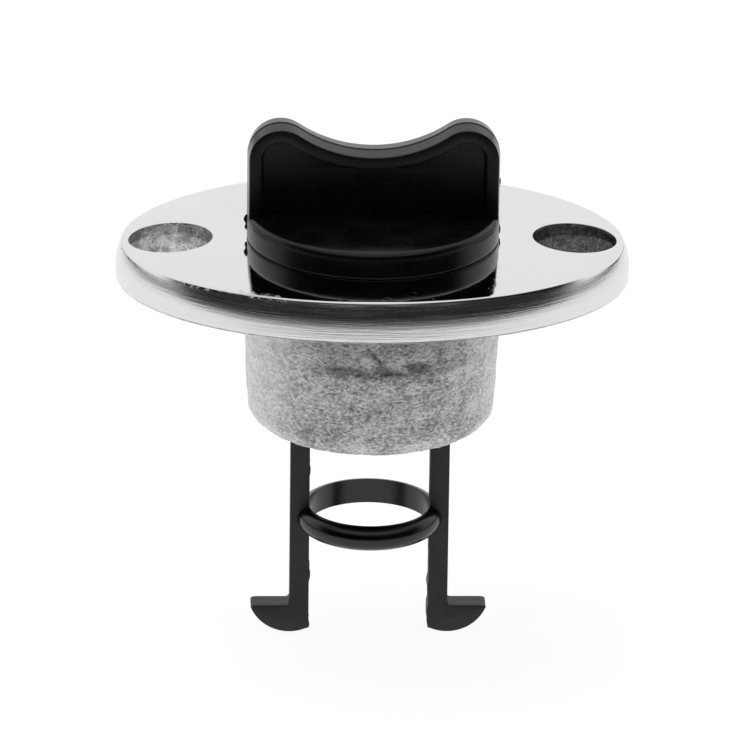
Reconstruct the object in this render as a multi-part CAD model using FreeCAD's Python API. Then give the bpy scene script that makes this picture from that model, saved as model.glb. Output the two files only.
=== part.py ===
"""Captive drain plug for a boat: a cast oval socket, a moulded T-handle bung and its seal.

Millimetres. The origin is the centre of the flange's underside, which lies on the hull.
+Z points out of the hull along the bore, and +X runs through the two fixing screws.
"""
import math
import os

import FreeCAD
import Part

# Oval flange
FLANGE_LENGTH = 75.0
FLANGE_WIDTH = 56.0
FLANGE_TOP_HEIGHT = 6.1
FLANGE_FALL_RADIUS = 210.0
FLANGE_FOOT_EASE = 0.25
FLANGE_FOOT_HEIGHT = 0.5
FLANGE_WALL_UPRIGHT = 2.0
FLANGE_WALL_LEAN = 3.1
FLANGE_WALL_RISE = 6.6
FLANGE_WALL_STEPS = 5
SEAT_MARGIN = 0.6

# Countersunk screw holes
SCREW_SPACING = 59.0
SCREW_HOLE_RADIUS = 3.2
SCREW_RECESS_RADIUS = 6.15
SCREW_RECESS_DEPTH = 1.9

# Barrel that goes through the hull
BARREL_ROOT_RADIUS = 19.05
BARREL_DRAFT = 0.05
BARREL_LENGTH = 22.0
BARREL_END_ROUND = 2.6
BORE_MOUTH_EASE = 0.4
BORE_LIP_HEIGHT = 3.0
BORE_LIP_EASE = 0.5

# Two-start thread shared by the bore and the shank
THREAD_STARTS = 2
THREAD_LEAD = 6.0
THREAD_CREST_RADIUS = 15.2
THREAD_DEPTH = 1.3
THREAD_ROOT_WIDTH = 1.6
THREAD_CREST_WIDTH = 0.9
THREAD_RADIAL_CLEARANCE = 0.2
THREAD_AXIAL_CLEARANCE = 0.2
THREAD_BITE = 0.35
THREAD_SEAM_ANGLE = 45.0
SHANK_THREAD_INSET = 1.1
SHANK_THREAD_RUNOUT = 0.8
BORE_THREAD_INSET = 1.4
BORE_THREAD_RUNOUT = 1.0

# Seal under the head
SEAL_GLAND_RADIUS = 16.7
SEAL_HEIGHT = 2.1
SEAL_SIDE_CLEARANCE = 0.05
SEAL_CORNER_ROUND = 0.95

# Head of the bung
HEAD_RADIUS = 18.4
HEAD_THICKNESS = 4.0
HEAD_TOP_EASE = 0.35
HEAD_BOTTOM_EASE = 0.3
HEAD_ROOF = 2.8

# T-handle
HANDLE_HEIGHT = 13.5
HANDLE_SADDLE_DROP = 4.15
HANDLE_LOBE_RADIUS = 4.9
HANDLE_THICKNESS = 6.0
HANDLE_DRAFT_INSET = 0.3
HANDLE_RIM_WIDTH = 1.8
HANDLE_WEB_THICKNESS = 2.2
HANDLE_WEB_DRAFT = 0.15

# Shank, legs and hooks
SHANK_LENGTH = 20.6
SHANK_END_EASE = 0.6
SHANK_HOLLOW_RADIUS = 9.05
LEG_OUTER = 11.75
LEG_DEPTH = 3.75
HOOK_STOP_TRAVEL = 30.0
HOOK_REACH = 5.75
HOOK_HEIGHT = 4.2
HOOK_TIP_LAND = 0.3
HOOK_ROOT_ROUND = 0.6

# Brace ring between the legs
RING_HEIGHT = 3.8
RING_BULGE = 1.8
RING_ABOVE_HOOK = 14.0

# How far joined shapes run into each other, and cuts run past a face
JOIN_OVERLAP = 0.6
CUT_OVERRUN = 1.0

AXIS = FreeCAD.Vector(0, 0, 1)
ORIGIN = FreeCAD.Vector(0, 0, 0)


def vec(x, y, z):
    """Short form of a vector."""
    return FreeCAD.Vector(x, y, z)


def line(a, b):
    """Straight edge from a to b."""
    return Part.LineSegment(a, b).toShape()


def arc(a, mid, b):
    """Arc edge through three points."""
    return Part.Arc(a, mid, b).toShape()


def revolve(points):
    """Solid of revolution about Z from a closed list of (radius, height) points."""
    corners = [vec(r, 0, z) for r, z in points]
    corners.append(corners[0])
    return Part.Face(Part.makePolygon(corners)).revolve(ORIGIN, AXIS, 360)


def seam_aside(points):
    """Solid of revolution whose seam lies away from where the ridges begin."""
    solid = revolve(points)
    solid.rotate(ORIGIN, AXIS, THREAD_SEAM_ANGLE)
    return solid


def cylinder(radius, low, high, x=0.0):
    """Upright cylinder between two heights."""
    return Part.makeCylinder(radius, high - low, vec(x, 0, low), AXIS)


def both_sides(shape):
    """The shape and its image across the YZ plane."""
    return [shape, shape.mirror(ORIGIN, vec(1, 0, 0))]


def seat_radius():
    """Radius of the flat middle of the flange, which the head closes on."""
    return HEAD_RADIUS + SEAT_MARGIN


def face_height(radius):
    """Height of the flange's face at a distance from the axis, outside its flat middle."""
    out = radius - seat_radius()
    return FLANGE_TOP_HEIGHT - FLANGE_FALL_RADIUS + math.sqrt(FLANGE_FALL_RADIUS ** 2 - out ** 2)


def gland_floor():
    """Height of the step that the seal lies on."""
    return FLANGE_TOP_HEIGHT - SEAL_HEIGHT


def head_top():
    """Height of the head's upper face."""
    return FLANGE_TOP_HEIGHT + HEAD_THICKNESS


def shank_bottom():
    """Height of the shank's lower end."""
    return FLANGE_TOP_HEIGHT - SHANK_LENGTH


def hook_top():
    """Height of the hooks' stop faces."""
    return -BARREL_LENGTH - HOOK_STOP_TRAVEL


def thread_root_radius():
    """Radius of the shank between its ridges."""
    return THREAD_CREST_RADIUS - THREAD_DEPTH


def thread_flank():
    """Width that a ridge loses per millimetre of height."""
    return (THREAD_ROOT_WIDTH - THREAD_CREST_WIDTH) / THREAD_DEPTH


def bore_radius():
    """Radius of the bore between its ridges."""
    return THREAD_CREST_RADIUS + THREAD_RADIAL_CLEARANCE


def bore_crest_radius():
    """Radius inside the bore's ridges, which the lip below them keeps."""
    return thread_root_radius() + THREAD_RADIAL_CLEARANCE


def oval(inset, height):
    """Elliptical wire of the flange's outline, moved inwards by the inset."""
    ellipse = Part.Ellipse(vec(0, 0, height), FLANGE_LENGTH / 2 - inset, FLANGE_WIDTH / 2 - inset)
    return Part.Wire([ellipse.toShape()])


def flange_blank():
    """Oval block with an eased foot and a convex side wall that leans in towards the top."""
    foot = Part.makeLoft([oval(FLANGE_FOOT_EASE, 0.0), oval(0.0, FLANGE_FOOT_HEIGHT)], True, True)
    wires = [oval(0.0, FLANGE_FOOT_HEIGHT), oval(0.0, FLANGE_WALL_UPRIGHT)]
    for step in range(1, FLANGE_WALL_STEPS + 1):
        share = step / FLANGE_WALL_STEPS
        wires.append(oval(FLANGE_WALL_LEAN * share ** 2, FLANGE_WALL_UPRIGHT + FLANGE_WALL_RISE * share))
    return foot.fuse(Part.makeLoft(wires, True, False))


def flange():
    """Flange whose face is flat in the middle and falls in an arc towards the ends."""
    start = seat_radius()
    end = FLANGE_LENGTH / 2 + CUT_OVERRUN
    middle = (start + end) / 2
    top = vec(start, 0, FLANGE_TOP_HEIGHT)
    edge = vec(end, 0, face_height(end))
    edges = [
        line(vec(0, 0, -CUT_OVERRUN), vec(0, 0, FLANGE_TOP_HEIGHT)),
        line(vec(0, 0, FLANGE_TOP_HEIGHT), top),
        arc(top, vec(middle, 0, face_height(middle)), edge),
        line(edge, vec(end, 0, -CUT_OVERRUN)),
        line(vec(end, 0, -CUT_OVERRUN), vec(0, 0, -CUT_OVERRUN)),
    ]
    envelope = Part.Face(Part.Wire(edges)).revolve(ORIGIN, AXIS, 360)
    return flange_blank().common(envelope)


def screw_hole():
    """Countersunk screw hole on the +X side."""
    x = SCREW_SPACING / 2
    recess_floor = face_height(x) - SCREW_RECESS_DEPTH
    cone_depth = SCREW_RECESS_RADIUS - SCREW_HOLE_RADIUS
    recess = cylinder(SCREW_RECESS_RADIUS, recess_floor, FLANGE_TOP_HEIGHT + CUT_OVERRUN, x)
    cone_base = vec(x, 0, recess_floor)
    cone = Part.makeCone(SCREW_RECESS_RADIUS, SCREW_HOLE_RADIUS, cone_depth, cone_base, vec(0, 0, -1))
    hole = cylinder(SCREW_HOLE_RADIUS, -CUT_OVERRUN, recess_floor, x)
    return recess.fuse([cone, hole])


def barrel():
    """Tapered outside of the barrel with its rounded end."""
    end_radius = BARREL_ROOT_RADIUS - BARREL_DRAFT * BARREL_LENGTH
    body = Part.makeCone(BARREL_ROOT_RADIUS, end_radius, BARREL_LENGTH, ORIGIN, vec(0, 0, -1))
    circles = [e for e in body.Edges if isinstance(e.Curve, Part.Circle)]
    end_edge = min(circles, key=lambda e: e.CenterOfMass.z)
    body = body.makeFillet(BARREL_END_ROUND, [end_edge])
    return body.fuse(cylinder(BARREL_ROOT_RADIUS, 0, JOIN_OVERLAP))


def bore():
    """Everything removed along the axis: seal gland, threaded bore and the lip at its end."""
    top = FLANGE_TOP_HEIGHT + CUT_OVERRUN
    low = -BARREL_LENGTH
    lip_top = low + BORE_LIP_HEIGHT
    wide = bore_radius()
    narrow = bore_crest_radius()
    return seam_aside([
        (0, top),
        (SEAL_GLAND_RADIUS + BORE_MOUTH_EASE, top),
        (SEAL_GLAND_RADIUS + BORE_MOUTH_EASE, FLANGE_TOP_HEIGHT),
        (SEAL_GLAND_RADIUS, FLANGE_TOP_HEIGHT - BORE_MOUTH_EASE),
        (SEAL_GLAND_RADIUS, gland_floor()),
        (wide, gland_floor()),
        (wide, lip_top + wide - narrow),
        (narrow, lip_top),
        (narrow, low + BORE_LIP_EASE),
        (narrow + BORE_LIP_EASE, low),
        (narrow + BORE_LIP_EASE, low - CUT_OVERRUN),
        (0, low - CUT_OVERRUN),
    ])


def ridges(inner, outer, inner_width, outer_width, start_height, high):
    """Helical ridge of every start, from the start height up past the high end."""
    helix = Part.makeHelix(THREAD_LEAD, high + THREAD_LEAD - start_height, (inner + outer) / 2)
    section = Part.makePolygon([
        vec(inner, 0, -inner_width / 2),
        vec(outer, 0, -outer_width / 2),
        vec(outer, 0, outer_width / 2),
        vec(inner, 0, inner_width / 2),
        vec(inner, 0, -inner_width / 2),
    ])
    ridge = Part.Wire(helix.Edges).makePipeShell([section], True, True)
    shapes = []
    for start in range(THREAD_STARTS):
        copy = ridge.copy()
        copy.rotate(ORIGIN, AXIS, 360.0 * start / THREAD_STARTS)
        copy.translate(vec(0, 0, start_height))
        shapes.append(copy)
    return shapes


def thread_start_height():
    """Height at which the shank's first ridge begins, well below both threads."""
    return -BARREL_LENGTH - THREAD_LEAD


def shank_ridges():
    """Outside thread of the shank, with both ends bevelled."""
    low = shank_bottom() + SHANK_THREAD_RUNOUT
    high = gland_floor() - SHANK_THREAD_INSET
    root = thread_root_radius() - THREAD_BITE
    crest = THREAD_CREST_RADIUS
    rise = crest - root + CUT_OVERRUN
    envelope = seam_aside([
        (0, high + CUT_OVERRUN),
        (root - CUT_OVERRUN, high + CUT_OVERRUN),
        (crest + CUT_OVERRUN, high - rise),
        (crest + CUT_OVERRUN, low + rise),
        (root - CUT_OVERRUN, low - CUT_OVERRUN),
        (0, low - CUT_OVERRUN),
    ])
    root_width = THREAD_ROOT_WIDTH + thread_flank() * THREAD_BITE
    shapes = ridges(root, crest, root_width, THREAD_CREST_WIDTH, thread_start_height(), high)
    return [shape.common(envelope) for shape in shapes]


def bore_ridges():
    """Inside thread of the bore, half a pitch away from the shank's ridges."""
    pitch = THREAD_LEAD / THREAD_STARTS
    low = -BARREL_LENGTH + BORE_LIP_HEIGHT + BORE_THREAD_RUNOUT
    high = gland_floor() - BORE_THREAD_INSET
    tip = bore_crest_radius()
    wall = bore_radius() + THREAD_BITE
    rise = wall - tip + CUT_OVERRUN
    outside = wall + 2 * CUT_OVERRUN
    envelope = seam_aside([
        (outside, high + CUT_OVERRUN),
        (wall + CUT_OVERRUN, high + CUT_OVERRUN),
        (tip - CUT_OVERRUN, high - rise),
        (tip - CUT_OVERRUN, low + rise),
        (wall + CUT_OVERRUN, low - CUT_OVERRUN),
        (outside, low - CUT_OVERRUN),
    ])
    shank_width = THREAD_ROOT_WIDTH - thread_flank() * THREAD_RADIAL_CLEARANCE
    tip_width = pitch - shank_width - 2 * THREAD_AXIAL_CLEARANCE
    wall_width = tip_width + thread_flank() * (wall - tip)
    shapes = ridges(tip, wall, tip_width, wall_width, thread_start_height() + pitch / 2, high)
    return [shape.common(envelope) for shape in shapes]


def socket():
    """The one-piece casting that is screwed to the hull."""
    body = flange().fuse(barrel())
    body = body.cut([bore()] + both_sides(screw_hole()))
    return body.fuse(bore_ridges())


def handle_outline(inset, base, y):
    """Closed XZ outline of the handle at one Y, moved inwards by the inset."""
    lobe_x = HEAD_RADIUS - HANDLE_LOBE_RADIUS
    lobe_z = head_top() + HANDLE_HEIGHT - HANDLE_LOBE_RADIUS
    saddle_rise = HANDLE_LOBE_RADIUS - HANDLE_SADDLE_DROP
    saddle_radius = (lobe_x ** 2 + saddle_rise ** 2 - HANDLE_LOBE_RADIUS ** 2) / (2 * HANDLE_SADDLE_DROP)
    saddle_z = lobe_z + saddle_rise + saddle_radius
    lean = math.atan2(lobe_x, saddle_z - lobe_z)
    middle = (math.pi / 2 - lean) / 2
    radius = HANDLE_LOBE_RADIUS - inset
    side = HEAD_RADIUS - inset
    touch_x = lobe_x - radius * math.sin(lean)
    touch_z = lobe_z + radius * math.cos(lean)
    crown_x = lobe_x + radius * math.sin(middle)
    crown_z = lobe_z + radius * math.cos(middle)
    edges = [
        line(vec(-side, y, base), vec(side, y, base)),
        line(vec(side, y, base), vec(side, y, lobe_z)),
        arc(vec(side, y, lobe_z), vec(crown_x, y, crown_z), vec(touch_x, y, touch_z)),
        arc(vec(touch_x, y, touch_z), vec(0, y, lobe_z + saddle_rise - inset), vec(-touch_x, y, touch_z)),
        arc(vec(-touch_x, y, touch_z), vec(-crown_x, y, crown_z), vec(-side, y, lobe_z)),
        line(vec(-side, y, lobe_z), vec(-side, y, base)),
    ]
    return Part.Wire(edges)


def handle_half(sign):
    """One drafted half of the handle, with the raised rim around its web."""
    face_y = sign * HANDLE_THICKNESS / 2
    web_y = sign * HANDLE_WEB_THICKNESS / 2
    base = head_top() - JOIN_OVERLAP
    rim = HANDLE_DRAFT_INSET + HANDLE_RIM_WIDTH
    middle = handle_outline(0.0, base, 0.0)
    face = handle_outline(HANDLE_DRAFT_INSET, base, face_y)
    plate = Part.makeLoft([middle, face], True, True)
    mouth = handle_outline(rim, head_top(), face_y + sign * CUT_OVERRUN)
    floor = handle_outline(rim + HANDLE_WEB_DRAFT, head_top(), web_y)
    return plate.cut(Part.makeLoft([mouth, floor], True, True))


def head():
    """Round head of the bung with eased edges."""
    low = FLANGE_TOP_HEIGHT
    top = head_top()
    return revolve([
        (0, low),
        (HEAD_RADIUS - HEAD_BOTTOM_EASE, low),
        (HEAD_RADIUS, low + HEAD_BOTTOM_EASE),
        (HEAD_RADIUS, top - HEAD_TOP_EASE),
        (HEAD_RADIUS - HEAD_TOP_EASE, top),
        (0, top),
    ])


def shank():
    """Threaded shank below the head."""
    root = thread_root_radius()
    low = shank_bottom()
    outside = seam_aside([
        (0, FLANGE_TOP_HEIGHT + JOIN_OVERLAP),
        (root, FLANGE_TOP_HEIGHT + JOIN_OVERLAP),
        (root, low + SHANK_END_EASE),
        (root - SHANK_END_EASE, low),
        (0, low),
    ])
    return outside.fuse(shank_ridges())


def leg():
    """Leg on the +X side with its outward hook, whose underside is one arc."""
    tip = LEG_OUTER + HOOK_REACH
    stop = hook_top()
    land = stop - HOOK_TIP_LAND
    drop = HOOK_HEIGHT - HOOK_TIP_LAND
    radius = (HOOK_REACH ** 2 + drop ** 2) / (2 * drop)
    centre_z = land - drop + radius
    inner = SHANK_HOLLOW_RADIUS - JOIN_OVERLAP
    inner_z = centre_z - math.sqrt(radius ** 2 - (LEG_OUTER - inner) ** 2)
    top = shank_bottom() + JOIN_OVERLAP + SHANK_END_EASE
    y = -LEG_DEPTH / 2
    bend = HOOK_ROOT_ROUND * (1 - math.sqrt(0.5))
    edges = [
        line(vec(inner, y, top), vec(LEG_OUTER, y, top)),
        line(vec(LEG_OUTER, y, top), vec(LEG_OUTER, y, stop + HOOK_ROOT_ROUND)),
        arc(vec(LEG_OUTER, y, stop + HOOK_ROOT_ROUND),
            vec(LEG_OUTER + bend, y, stop + bend),
            vec(LEG_OUTER + HOOK_ROOT_ROUND, y, stop)),
        line(vec(LEG_OUTER + HOOK_ROOT_ROUND, y, stop), vec(tip, y, stop)),
        line(vec(tip, y, stop), vec(tip, y, land)),
        arc(vec(tip, y, land), vec(LEG_OUTER, y, centre_z - radius), vec(inner, y, inner_z)),
        line(vec(inner, y, inner_z), vec(inner, y, top)),
    ]
    return Part.Face(Part.Wire(edges)).extrude(vec(0, LEG_DEPTH, 0))


def brace_ring():
    """Half-round ring that ties the two legs together."""
    centre = hook_top() + RING_ABOVE_HOOK
    inner = SHANK_HOLLOW_RADIUS
    core = inner - JOIN_OVERLAP
    top = vec(inner, 0, centre + RING_HEIGHT / 2)
    bottom = vec(inner, 0, centre - RING_HEIGHT / 2)
    core_top = vec(core, 0, centre + RING_HEIGHT / 2)
    core_bottom = vec(core, 0, centre - RING_HEIGHT / 2)
    edges = [
        line(core_bottom, core_top),
        line(core_top, top),
        arc(top, vec(inner + RING_BULGE, 0, centre), bottom),
        line(bottom, core_bottom),
    ]
    return Part.Face(Part.Wire(edges)).revolve(ORIGIN, AXIS, 360)


def bung():
    """The one-piece moulding: handle, head, threaded shank, legs, hooks and brace ring."""
    body = head().fuse([handle_half(-1), handle_half(1), shank(), brace_ring()] + both_sides(leg()))
    hollow = cylinder(SHANK_HOLLOW_RADIUS, hook_top() - HOOK_HEIGHT - CUT_OVERRUN, FLANGE_TOP_HEIGHT - HEAD_ROOF)
    return body.cut(hollow)


def seal_ring():
    """Rubber ring as it sits pressed between the head and the gland floor."""
    inner = thread_root_radius() + SEAL_SIDE_CLEARANCE
    outer = SEAL_GLAND_RADIUS - SEAL_SIDE_CLEARANCE
    ring = revolve([
        (inner, gland_floor()),
        (outer, gland_floor()),
        (outer, FLANGE_TOP_HEIGHT),
        (inner, FLANGE_TOP_HEIGHT),
    ])
    circles = [e for e in ring.Edges if isinstance(e.Curve, Part.Circle)]
    return ring.makeFillet(SEAL_CORNER_ROUND, circles)


def export(name, shape):
    """Writes one piece and prints whether it is a valid single solid."""
    solids = shape.Solids
    if len(solids) == 1:
        shape = solids[0]
    print(name, "valid", shape.isValid(), "solids", len(solids), "volume", round(shape.Volume, 1))
    shape.exportStep(os.path.join("parts", name + ".step"))


def main():
    """Builds and exports every piece."""
    os.makedirs("parts", exist_ok=True)
    export("socket", socket())
    export("bung", bung())
    export("seal_ring", seal_ring())


main()
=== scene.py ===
"""Studio scene of a captive boat drain plug: a cast stainless socket, a black nylon bung and its seal.

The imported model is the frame. Its origin is the centre of the flange's underside, +Z points out of
the hull towards the handle, and +X runs through the two screw holes. Sizes below are in millimetres
and become metres where a mesh is made.
"""

import logging
import math
from dataclasses import dataclass, field
from enum import Enum
from typing import Callable, Sequence

import bmesh
import bpy
import numpy as np
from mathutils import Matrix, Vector
from mathutils.geometry import delaunay_2d_cdt


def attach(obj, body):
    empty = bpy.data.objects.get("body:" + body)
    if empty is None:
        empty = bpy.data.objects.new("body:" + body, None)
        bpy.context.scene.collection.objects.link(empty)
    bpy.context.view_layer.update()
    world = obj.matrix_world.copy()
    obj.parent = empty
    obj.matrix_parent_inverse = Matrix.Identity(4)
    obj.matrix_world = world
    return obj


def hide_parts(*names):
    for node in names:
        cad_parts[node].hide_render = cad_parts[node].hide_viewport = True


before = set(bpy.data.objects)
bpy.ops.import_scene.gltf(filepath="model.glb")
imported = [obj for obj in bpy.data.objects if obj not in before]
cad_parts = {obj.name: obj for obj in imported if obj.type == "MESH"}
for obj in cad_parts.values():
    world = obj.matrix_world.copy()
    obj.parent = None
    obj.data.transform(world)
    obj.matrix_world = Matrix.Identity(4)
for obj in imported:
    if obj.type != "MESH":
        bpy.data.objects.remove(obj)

LOG = logging.getLogger("drain_plug")
MM = 0.001
WELD = 0.000002
TINY = 1e-9
MESH_TOLERANCE = 1e-6
BORDER_SHARE = 0.55
MITRE_LIMIT = 0.3
PIT_SPACING = 0.5
SAME_PLACE = 0.001
EASE_STEPS = 4
PIT_EDGE = (0.04, 0.22)
PIT_CHOICE = (0.55, 0.65)
WAVE_SHARE = 3.0
RIDGE_STEPS = 320
RIDGE_HEIGHTS = (0.0, 0.93, 1.0, 1.0, 0.93, 0.0, 0.0)
RIDGE_PLACES = (0.0, 0.0, 0.12, 0.88, 1.0, 1.0, 0.0)
CAST = "cast"
BRUSHED = "brushed"
BARE = "bare"
WORN = "worn"

Pair = tuple[float, float]
Triple = tuple[float, float, float]
Colour = tuple[float, float, float, float]


class Body(Enum):
    """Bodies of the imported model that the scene's pieces ride on."""

    SOCKET = "socket"
    BUNG = "bung"


class Node(Enum):
    """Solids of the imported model."""

    SOCKET = "socket"
    SEAL = "seal_ring"
    BUNG = "bung"


class Slot(Enum):
    """Names of material slots, one for each kind of piece."""

    STEEL = "cast_stainless"
    NYLON = "black_nylon"


class Side(Enum):
    """The two sides of a part that is the same left and right."""

    LEFT = -1
    RIGHT = 1


@dataclass(frozen=True)
class Corner:
    """One corner of a turned profile.

    Args:
        radius: Distance from the axis.
        height: Height along the axis.
        ease: How far before and after the corner its rounding begins; 0 keeps it sharp.
        run: Longest step along the straight that follows the corner.
    """

    radius: float
    height: float
    ease: float = 0.0
    run: float = 1e9


def quarter(steps: int) -> list[Pair]:
    """Fall and reach, both from 0 to 1, at even steps round a quarter circle."""
    return [(1 - math.cos(turn), math.sin(turn)) for turn in np.linspace(0, math.pi / 2, steps + 1)]


def bend(start: np.ndarray, corner: np.ndarray, end: np.ndarray, steps: int) -> np.ndarray:
    """Points of the arc that rounds a corner.

    Args:
        start: Where the rounding leaves the first side.
        corner: The corner itself.
        end: Where the rounding joins the second side.
        steps: Number of pieces of the arc.

    Returns:
        The points, from start to end.
    """
    first = corner - start
    second = end - corner
    cosine = float(np.dot(first, second) / (np.linalg.norm(first) * np.linalg.norm(second)))
    weight = math.sqrt(max(0.0, (1 + cosine) / 2))
    share = np.linspace(0, 1, steps + 1)[:, None]
    near = (1 - share) ** 2
    middle = 2 * weight * share * (1 - share)
    far = share ** 2
    return (near * start + middle * corner + far * end) / (near + middle + far)


def profile(corners: Sequence[Corner], closed: bool = False, ease_steps: int = EASE_STEPS) -> np.ndarray:
    """Points along a turned profile, with its corners eased and its long runs divided.

    Args:
        corners: The profile's corners in order.
        closed: Whether the last corner joins the first.
        ease_steps: Pieces of each eased corner.

    Returns:
        An array of (radius, height) points.
    """
    places = [np.array([corner.radius, corner.height]) for corner in corners]
    count = len(corners)
    points: list[np.ndarray] = []
    for index, corner in enumerate(corners):
        here = places[index]
        arc = here[None, :]
        if corner.ease > 0 and (closed or 0 < index < count - 1):
            ends = []
            for other in (places[index - 1], places[(index + 1) % count]):
                ends.append(here + (other - here) / np.linalg.norm(other - here) * corner.ease)
            arc = bend(ends[0], here, ends[1], ease_steps)
        points.extend(arc)
        if index == count - 1 and not closed:
            break
        following = (index + 1) % count
        gap = places[following] - here
        target = places[following] - gap / float(np.linalg.norm(gap)) * corners[following].ease
        pieces = max(1, math.ceil(float(np.linalg.norm(target - arc[-1])) / corner.run))
        points.extend(arc[-1] + (target - arc[-1]) * step / pieces for step in range(1, pieces))
    return np.array(points)


def turned(points: np.ndarray, columns: int) -> np.ndarray:
    """Rows of points made by turning a profile about the axis.

    Args:
        points: (radius, height) points.
        columns: Number of points round each row.

    Returns:
        An array of rows by columns by 3.
    """
    rows = np.zeros((len(points), columns, 3))
    rows[:, :, :2] = points[:, 0][:, None, None] * circle_ring(1.0, columns)[None, :, :]
    rows[:, :, 2] = points[:, 1][:, None]
    return rows


def circle_ring(radius: float, columns: int, x: float = 0.0) -> np.ndarray:
    """Plan points of a circle about a point on the X axis."""
    turn = np.linspace(0, 2 * math.pi, columns, endpoint=False)
    return np.stack([x + radius * np.cos(turn), radius * np.sin(turn)], axis=1)


def link(name: str, data: bpy.types.ID) -> bpy.types.Object:
    """Adds an object that carries the data to the scene."""
    made = bpy.data.objects.new(name, data)
    bpy.context.scene.collection.objects.link(made)
    return made


def settle(mesh: bpy.types.Mesh, crease: float, weld: bool = True) -> None:
    """Turns a mesh's faces outwards and shades it smooth.

    Args:
        mesh: The mesh.
        crease: Angle in degrees above which an edge is shaded sharp.
        weld: Whether points that lie together are joined first.
    """
    work = bmesh.new()
    work.from_mesh(mesh)
    if weld:
        bmesh.ops.remove_doubles(work, verts=work.verts, dist=WELD)
        bmesh.ops.dissolve_degenerate(work, edges=work.edges, dist=WELD / 2)
    bmesh.ops.recalc_face_normals(work, faces=work.faces)
    work.to_mesh(mesh)
    work.free()
    mesh.polygons.foreach_set("use_smooth", [True] * len(mesh.polygons))
    mesh.set_sharp_from_angle(angle=math.radians(crease))


class Shell:
    """Patches of points and faces that are welded into one closed mesh."""

    def __init__(self) -> None:
        """Starts with no patch."""
        self.points: list[np.ndarray] = []
        self.faces: list[tuple[int, ...]] = []
        self.count = 0

    def add_points(self, points: np.ndarray) -> int:
        """Adds points and gives the index of the first."""
        first = self.count
        self.points.append(points.reshape(-1, 3))
        self.count += len(self.points[-1])
        return first

    def add_rows(self, rows: np.ndarray, wrap: bool = False, capped: bool = False) -> "Shell":
        """Joins rows of points that each run right round.

        Args:
            rows: An array of rows by columns by 3.
            wrap: Whether the last row joins the first.
            capped: Whether the first and the last row are closed with one flat face each.

        Returns:
            The shell itself.
        """
        first = self.add_points(rows)
        height, width = rows.shape[:2]
        for row in range(height if wrap else height - 1):
            here = first + row * width
            above = first + ((row + 1) % height) * width
            for column in range(width):
                beside = (column + 1) % width
                self.faces.append((here + column, here + beside, above + beside, above + column))
        for ring in (rows[0], rows[-1]) if capped else ():
            self.add_faces(ring, [range(len(ring))])
        return self

    def add_faces(self, points: np.ndarray, faces: Sequence[Sequence[int]]) -> None:
        """Adds a patch that already has its faces."""
        first = self.add_points(points)
        self.faces.extend(tuple(first + index for index in face) for face in faces)

    def make(self, name: str, crease: float = 32.0) -> bpy.types.Object:
        """Welds the patches into an object at the origin.

        Args:
            name: Name of the piece.
            crease: Angle in degrees above which an edge is shaded sharp.

        Returns:
            The object, with smooth shading and outward faces.
        """
        mesh = bpy.data.meshes.new(name)
        mesh.from_pydata((np.concatenate(self.points) * MM).tolist(), [], self.faces)
        settle(mesh, crease)
        return link(name, mesh)


def plate(
    outer: np.ndarray,
    holes: Sequence[np.ndarray],
    spacing: float,
    height: Callable[[np.ndarray], np.ndarray],
) -> tuple[np.ndarray, list[tuple[int, ...]]]:
    """Evenly meshed sheet between an outer ring and some holes.

    Args:
        outer: Plan points of the outer ring.
        holes: Plan points of each hole's ring.
        spacing: Distance between the sheet's inner points.
        height: Gives the height of each plan point.

    Returns:
        The sheet's points and its triangles.
    """
    rings = [outer, *holes]
    border = np.concatenate(rings)
    low = outer.min(axis=0)
    high = outer.max(axis=0)
    pitch = spacing * math.sqrt(3) / 2
    inner = []
    for row, y in enumerate(np.arange(low[1], high[1], pitch)):
        shift = spacing / 2 * (row % 2)
        inner.extend((x, y) for x in np.arange(low[0] + shift, high[0], spacing))
    inner_points = np.array(inner)
    gap = np.array([np.min(np.sum((border - point) ** 2, axis=1)) for point in inner_points])
    plan = np.concatenate([border, inner_points[gap > (spacing * BORDER_SHARE) ** 2]])
    edges = []
    first = 0
    for ring in rings:
        edges.extend((first + index, first + (index + 1) % len(ring)) for index in range(len(ring)))
        first += len(ring)
    spots = [Vector(point) for point in plan]
    made, _, faces, _, _, _ = delaunay_2d_cdt(spots, edges, [], 1, MESH_TOLERANCE)
    flat = np.array([list(point) for point in made])
    kept = []
    for face in faces:
        centre = flat[list(face)].mean(axis=0)
        if inside(centre, outer) and not any(inside(centre, hole) for hole in holes):
            kept.append(tuple(face))
    return np.column_stack([flat, height(flat)]), kept


def inside(point: np.ndarray, ring: np.ndarray) -> bool:
    """Whether a plan point lies within a ring of points."""
    following = np.roll(ring, -1, axis=0)
    spans = (ring[:, 1] > point[1]) != (following[:, 1] > point[1])
    a = ring[spans]
    b = following[spans]
    cross = a[:, 0] + (point[1] - a[:, 1]) * (b[:, 0] - a[:, 0]) / (b[:, 1] - a[:, 1])
    return bool(np.count_nonzero(cross > point[0]) % 2)


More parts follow.
